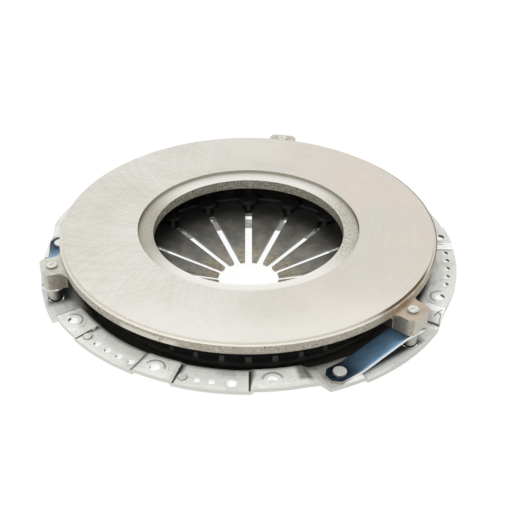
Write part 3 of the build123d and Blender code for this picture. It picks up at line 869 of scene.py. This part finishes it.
# %% Measure a strap pack
LEAF_T = 0.001
LEAF_GAP = 0.00008  # shows as a dark line between two leaves
STRAP_WIDTH = 0.021
STRAP_END = 0.0125  # leaf beyond each rivet
STRAP_CHAMFER = 0.006
SEAT_FLAT, LUG_FLAT = 0.016, 0.013
STRAP_LUG_Z = 0.0016
COVER_RIVET_R = 0.1946
COVER_HOLE_R, LUG_HOLE_R = 0.00405, 0.0049
LEAF_EDGE = 0.00012  # worn off each edge
BEND_HALF = 0.014  # straight control points this far from each corner round it to about 60 mm
CORNERS = ("right", "rear", "left")
LEAVES = ("bottom", "middle", "top")
print(len(CORNERS), "packs of", len(LEAVES), "leaves")

# %% Find a strap's ends and bends


def around(circle_r, bearing_angle, height=0.0):
    """A point at that radius, bearing and height."""
    return Vector(
        (circle_r * math.cos(bearing_angle), circle_r * math.sin(bearing_angle), height)
    )


fixed_end = around(COVER_RIVET_R, FIRST_LUG - STRAP_SPAN)
driven_end = around(LUG_RIVET_R, FIRST_LUG)
strap_run = (driven_end - fixed_end).length
strap_bearing = math.atan2(driven_end.y - fixed_end.y, driven_end.x - fixed_end.x)
corner_low = Vector((SEAT_FLAT, 0, SEAT_Z))
corner_high = Vector((strap_run - LUG_FLAT, 0, STRAP_LUG_Z))
climb = (corner_high - corner_low).normalized()
level = Vector((1, 0, 0))
strap_line = (
    Vector((-STRAP_END, 0, SEAT_Z)),
    corner_low - level * BEND_HALF,
    corner_low,
    corner_low + climb * BEND_HALF,
    corner_high - climb * BEND_HALF,
    corner_high,
    corner_high + level * BEND_HALF,
    Vector((strap_run + STRAP_END, 0, STRAP_LUG_Z)),
)
print("rivet to rivet", round(strap_run, 4), "climb", round(math.degrees(climb.angle(level)), 1))

# %% Draw the press line and measure it
press = bpy.data.curves.new("press_line", "CURVE")
press.dimensions = "3D"
spline = press.splines.new("NURBS")
spline.points.add(len(strap_line) - 1)
for point, place in zip(spline.points, strap_line):
    point.co = (*place, 1)
spline.order_u = 3
spline.use_endpoint_u = True
spline.resolution_u = 24
press_line = bpy.data.objects.new("press_line", press)
bpy.context.scene.collection.objects.link(press_line)
leaf_length = spline.calc_length()
print("leaf cut to", round(leaf_length, 5))

# %% Make the shear and the punch
HOLE_SIDES = 40
PUNCH_DEPTH = 0.01


def cut_corner(leaf, end, side):
    """Shear one corner off the strip, at 45 degrees."""
    bpy.ops.object.mode_set(mode="EDIT")
    bpy.ops.mesh.select_all(action="SELECT")
    tip = (leaf_length if end > 0 else 0.0) - end * STRAP_CHAMFER / 2
    edge = side * (STRAP_WIDTH / 2 - STRAP_CHAMFER / 2)
    bpy.ops.mesh.bisect(
        plane_co=(tip, edge, 0), plane_no=(end, side, 0), clear_outer=True, use_fill=False
    )
    bpy.ops.object.mode_set(mode="OBJECT")


def pierce(leaf, distance, hole_r):
    """Punch one rivet hole through the strip."""
    bpy.ops.mesh.primitive_cylinder_add(
        vertices=HOLE_SIDES, radius=hole_r, depth=PUNCH_DEPTH, location=(distance, 0, 0)
    )
    punch = bpy.context.object
    bpy.context.view_layer.objects.active = leaf
    hole = leaf.modifiers.new("hole", "BOOLEAN")
    hole.operation = "DIFFERENCE"
    hole.object = punch
    bpy.ops.object.modifier_apply(modifier="hole")
    bpy.data.objects.remove(punch)


print("holes of", 2 * COVER_HOLE_R, "and", 2 * LUG_HOLE_R)

# %% Bend one leaf of each level
LEAF_STEPS, WIDTH_STEPS = 72, 8


def make_leaf(level_number):
    """One leaf in its final bend, with its seat end at the cover rivet's plan position."""
    bpy.ops.mesh.primitive_grid_add(
        x_subdivisions=LEAF_STEPS,
        y_subdivisions=WIDTH_STEPS,
        size=1,
        location=(leaf_length / 2, 0, 0),
    )
    leaf = bpy.context.object
    leaf.dimensions = (leaf_length, STRAP_WIDTH, 0)
    bpy.ops.object.transform_apply(location=True, rotation=True, scale=True)
    for end in (-1, 1):
        for side in (-1, 1):
            cut_corner(leaf, end, side)
    wall = leaf.modifiers.new("wall", "SOLIDIFY")
    wall.thickness = LEAF_T - LEAF_GAP
    wall.offset = 0
    bpy.ops.object.modifier_apply(modifier="wall")
    pierce(leaf, STRAP_END, COVER_HOLE_R)
    pierce(leaf, leaf_length - STRAP_END, LUG_HOLE_R)
    edge = leaf.modifiers.new("edge", "BEVEL")
    edge.width = LEAF_EDGE
    edge.segments = 2
    edge.limit_method = "ANGLE"
    bpy.ops.object.modifier_apply(modifier="edge")
    bpy.ops.object.select_all(action="DESELECT")  # the punches were the last to be selected
    leaf.select_set(True)
    bpy.context.view_layer.objects.active = leaf
    leaf.location.z = (level_number + 0.5) * LEAF_T
    bpy.ops.object.transform_apply(location=True, rotation=True, scale=True)
    bent = leaf.modifiers.new("bent", "CURVE")
    bent.object = press_line
    bent.deform_axis = "POS_X"
    bpy.ops.object.modifier_apply(modifier="bent")
    return leaf


masters = [make_leaf(number) for number in range(len(LEAVES))]
lows = [min(v.co.z for v in leaf.data.vertices) for leaf in masters]
print("undersides at the seat", [round(low, 5) for low in lows])

# %% Lay one leaf from its seat to its lug
BLEND_IN = 0.009  # of each flat beside a rivet, stays flat
blued, tree, shader = new_material("heat-blued spring steel strip")


def place_leaf(master, corner, turn, leaf_name):
    """A copy of one leaf at one lug, which bends from its seat to that lug."""
    leaf = master.copy()
    leaf.data = master.data.copy()
    leaf.name = f"{corner}_{leaf_name}_strap"
    bpy.context.scene.collection.objects.link(leaf)
    bpy.ops.object.select_all(action="DESELECT")
    leaf.select_set(True)
    bpy.context.view_layer.objects.active = leaf
    start = around(COVER_RIVET_R, FIRST_LUG - STRAP_SPAN + turn)
    leaf.rotation_euler.z = strap_bearing + turn
    leaf.location = start
    bpy.ops.object.transform_apply(location=True, rotation=True)
    bpy.ops.object.shade_smooth_by_angle(angle=math.radians(30))
    leaf.data.materials.clear()
    leaf.data.materials.append(blued)
    along = (around(LUG_RIVET_R, FIRST_LUG + turn) - start).normalized()
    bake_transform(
        leaf,
        "cover",
        "pressure_plate",
        start=start + along * BLEND_IN,
        end=start + along * (strap_run - BLEND_IN),
    )
    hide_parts(f"{corner}_strap_{leaf_name}_leaf")
    return leaf


print("each bends over", round(strap_run - 2 * BLEND_IN, 4))

# %% Set out the nine leaves
straps = [
    place_leaf(master, corner, THIRD * number, leaf_name)
    for number, corner in enumerate(CORNERS)
    for master, leaf_name in zip(masters, LEAVES)
]
for leftover in [*masters, press_line]:
    bpy.data.objects.remove(leftover)
print(len(straps), "leaves")

# %% Blue the leaves
# The blue is deep navy at the clamped ends, partly heat colour and partly painted shade, and a lighter
# steel blue half way. It follows the leaf's own length and width, so it bends with the leaf.
LEAF_BUMP = 0.00002


def drawn_noise(along, across, scale):
    """Noise drawn out on the strip: so many patches to its length, and so many to its width."""
    run = add_node(tree, "Math", u, along, operation="MULTIPLY")
    side = add_node(tree, "Math", v, across, operation="MULTIPLY")
    return add_node(tree, "TexNoise", add_node(tree, "CombineXYZ", run, side), scale, 3.0)


strip_place = add_node(tree, "TexCoord", pick="UV")
u, v, _ = add_node(tree, "SeparateXYZ", strip_place, pick=None)
lines = drawn_noise(9.0, 26.0, 1.0)
clouds = drawn_noise(5.0, 2.0, 1.6)
patchy = add_node(tree, "Math", clouds, 0.8, 0.5, operation="MULTIPLY_ADD")
normal = add_node(tree, "NewGeometry", pick="Normal")
facing = add_node(tree, "SeparateXYZ", normal, pick=2)
sheared = mask(tree, (add_node(tree, "Math", facing, operation="ABSOLUTE"), 0.5, 0.12))
# Painted shade: the sheared edges darken towards the seat end.
edge_end_shade_tone = lay(tree, "#a6a298", (mask(tree, (u, 0.06, 0.22)), "#fdfcf8"))
tone = lay(
    tree,
    "#24364a",
    (mask(tree, (u, 0.38, 0.62, 0.26), patchy), "#7ba4c6"),
    (mask(tree, (lines, 0.5, 0.75), 0.35), "#a9b9c2"),
    (sheared, edge_end_shade_tone),
)
metallic = add_node(tree, "Math", sheared, -0.6, 0.75, operation="MULTIPLY_ADD")
rough = add_node(tree, "Math", lines, 0.12, 0.26, operation="MULTIPLY_ADD")
finish_shader(tree, shader, tone, rough, metallic, lines, LEAF_BUMP, 0.4)
print(blued.name, "with", len(tree.nodes), "nodes")

# %% [markdown]
# ## Diaphragm spring
# The spring is one cone of sheet steel, hardened and slit into 16 fingers. It is drawn as a flat
# washer of rings, raised into a cone, given its thickness, slit with 16 punches, and its edges are
# rounded. The rings of faces let it bend smoothly. It rocks on the fulcrum rings: outside them it
# follows the plate, inside them it rises.

# %% Measure the spring
FINGERS = 16
SPRING_OUTER_R, SPRING_TIP_R = 0.1585, 0.031
SPRING_T = 0.0038
SPRING_SLOPE = math.tan(math.radians(9.4))
SPRING_TIP_TOP_Z = -0.0365
SLOT_WIDTH, WINDOW_WIDTH = 0.0073, 0.0130
WINDOW_INNER_R, WINDOW_OUTER_R = 0.111, 0.129
WINDOW_CORNER_R = 0.004
SLOT_OVERLAP_IN, SLOT_OVERLAP_OUT = 0.01, 0.003  # beyond the tips, and into the windows
SPRING_EDGE = 0.0005  # radius worn on each edge
RING_R = 0.12545
CREST_R = 0.1525
SPRING_SIDES = 192
SPRING_RINGS = 30


def spring_top(r):
    """Height of the spring's upper surface."""
    return SPRING_TIP_TOP_Z + (r - SPRING_TIP_R) * SPRING_SLOPE


print("outer edge at", round(spring_top(SPRING_OUTER_R), 4))

# %% Raise the cone
ring_step = (SPRING_OUTER_R - SPRING_TIP_R) / SPRING_RINGS
bpy.ops.mesh.primitive_circle_add(
    vertices=SPRING_SIDES, radius=SPRING_TIP_R, location=(0, 0, spring_top(SPRING_TIP_R))
)
spring = bpy.context.object
spring.name = "slit_spring"
bpy.ops.object.transform_apply(location=True)
bpy.ops.object.mode_set(mode="EDIT")
bpy.ops.mesh.select_all(action="SELECT")
for number in range(SPRING_RINGS):
    inner_r = SPRING_TIP_R + number * ring_step
    bpy.ops.mesh.extrude_region_move(
        TRANSFORM_OT_translate={"value": (0, 0, ring_step * SPRING_SLOPE)}
    )
    share = (inner_r + ring_step) / inner_r
    bpy.ops.transform.resize(value=(share, share, 1), center_override=(0, 0, 0))
bpy.ops.mesh.select_all(action="SELECT")
bpy.ops.mesh.normals_make_consistent(inside=False)
bpy.ops.object.mode_set(mode="OBJECT")
faces_up = sum(polygon.normal.z > 0 for polygon in spring.data.polygons)
print(len(spring.data.polygons), "faces, of which face up", faces_up)

# %% Give it thickness
if faces_up < len(spring.data.polygons) / 2:
    spring.data.flip_normals()
sheet_wall = spring.modifiers.new("sheet_wall", "SOLIDIFY")
sheet_wall.thickness = SPRING_T
sheet_wall.offset = -1
bpy.ops.object.modifier_apply(modifier="sheet_wall")
print("sheet of", SPRING_T, "gives", len(spring.data.polygons), "faces")

# %% Make a punch
PUNCH_HEIGHT = 0.06


def punch_bar(inner_r, outer_r, width, corner_r):
    """A straight punch along +X, with rounded upright corners at its outer end."""
    bpy.ops.mesh.primitive_cube_add(
        size=1, location=((inner_r + outer_r) / 2, 0, spring_top(WINDOW_INNER_R))
    )
    bar = bpy.context.object
    bar.dimensions = (outer_r - inner_r, width, PUNCH_HEIGHT)
    bpy.ops.object.transform_apply(location=True, scale=True)
    if corner_r:
        bpy.ops.object.mode_set(mode="EDIT")
        bpy.ops.mesh.select_all(action="DESELECT")
        bpy.ops.object.mode_set(mode="OBJECT")
        for edge in bar.data.edges:
            ends = [bar.data.vertices[i].co for i in edge.vertices]
            edge.select = abs(ends[0].z - ends[1].z) > PUNCH_HEIGHT / 2
        bpy.ops.object.mode_set(mode="EDIT")
        bpy.ops.mesh.select_mode(type="EDGE")
        bpy.ops.mesh.bevel(offset=corner_r, segments=6, affect="EDGES")
        bpy.ops.object.mode_set(mode="OBJECT")
    return bar


print("slots", SLOT_WIDTH, "wide and windows", WINDOW_WIDTH)

# %% Punch the slots


def punch_out(bar):
    """Cut the same punch through the spring at every finger gap."""
    for number in range(FINGERS):
        tool = bar.copy()
        tool.data = bar.data.copy()
        bpy.context.scene.collection.objects.link(tool)
        tool.rotation_euler.z = math.tau / FINGERS * number
        bpy.context.view_layer.update()
        bpy.context.view_layer.objects.active = spring
        gap = spring.modifiers.new("gap", "BOOLEAN")
        gap.operation = "DIFFERENCE"
        gap.object = tool
        bpy.ops.object.modifier_apply(modifier="gap")
        bpy.data.objects.remove(tool)
    bpy.data.objects.remove(bar)


slot_from, slot_to = SPRING_TIP_R - SLOT_OVERLAP_IN, WINDOW_INNER_R + SLOT_OVERLAP_OUT
punch_out(punch_bar(slot_from, slot_to, SLOT_WIDTH, 0))
punch_out(punch_bar(WINDOW_INNER_R, WINDOW_OUTER_R, WINDOW_WIDTH, WINDOW_CORNER_R))
print(len(spring.data.polygons), "faces after punching")

# %% Round its edges
bpy.ops.object.select_all(action="DESELECT")
spring.select_set(True)
bpy.context.view_layer.objects.active = spring
rounding = spring.modifiers.new("rounding", "BEVEL")
rounding.width = SPRING_EDGE
rounding.segments = 2
rounding.limit_method = "ANGLE"
rounding.angle_limit = math.radians(50)
bpy.ops.object.modifier_apply(modifier="rounding")
bpy.ops.object.shade_smooth_by_angle(angle=math.radians(35))
print(len(spring.data.polygons), "faces")

# %% Let it rock
# The sheet turns about the fulcrum rings, so a point's share of the plate's travel grows straight
# with its radius: nothing at the rings, all of it at the ridge, and the other way inside them.
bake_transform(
    spring,
    "cover",
    "pressure_plate",
    start=(RING_R, 0, spring_top(RING_R)),
    end=(CREST_R, 0, spring_top(CREST_R)),
)
shares = spring.data.attributes["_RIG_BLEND"].data
for vertex, share in zip(spring.data.vertices, shares):
    share.value = (vertex.co.xy.length - RING_R) / (CREST_R - RING_R)
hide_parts("diaphragm_spring")
print("finger tips move by", round((SPRING_TIP_R - RING_R) / (CREST_R - RING_R), 2))

# %% [markdown]
# ## Hardened spring steel
# Hardening in oil leaves the spring dark grey, with a soft sheen. The release bearing wears a tan
# ring near the finger tips, and the rounded cut edges get a painted highlight. An edge is found by the
# way it faces, since rounding has tilted it.

# %% Darken the spring
SPRING_BUMP = 0.00005
hardened, tree, shader = new_material("oil-hardened spring steel")
place, _, radius, bearing, facing, _ = turned_place(tree)
grain = turned_streaks(tree, radius, bearing, 60.0, 40.0)
mottle = add_node(tree, "TexNoise", place, 70.0, 5.0, 0.65)  # 14 mm
scuffs = add_node(tree, "TexNoise", place, 240.0, 4.0, 0.65)  # 4 mm
wear_ring = mask(tree, (radius, 0.034, 0.046, 0.010), (scuffs, 0.35, 0.62), 0.6)
shadow = mask(tree, (radius, 0.084, 0.114), 0.85)  # oil and the dish's shade, outside the fingers
edge_light = mask(tree, (facing, 0.93, 0.7), (facing, 0.1, 0.4), (radius, 0.108, 0.098), 0.6)
tone = lay(
    tree,
    "#86847d",
    (mask(tree, (mottle, 0.35, 0.7)), "#a3a097"),
    (wear_ring, "#c2b192"),
    (shadow, "#1d1c1a"),
    (edge_light, "#b9b6ad"),
)
rough = add_node(tree, "Math", mottle, 0.25, 0.28, operation="MULTIPLY_ADD")
finish_shader(tree, shader, tone, rough, 0.5, grain, SPRING_BUMP, 0.5)
spring.data.materials.clear()
spring.data.materials.append(hardened)
print(hardened.name, "with", len(tree.nodes), "nodes")
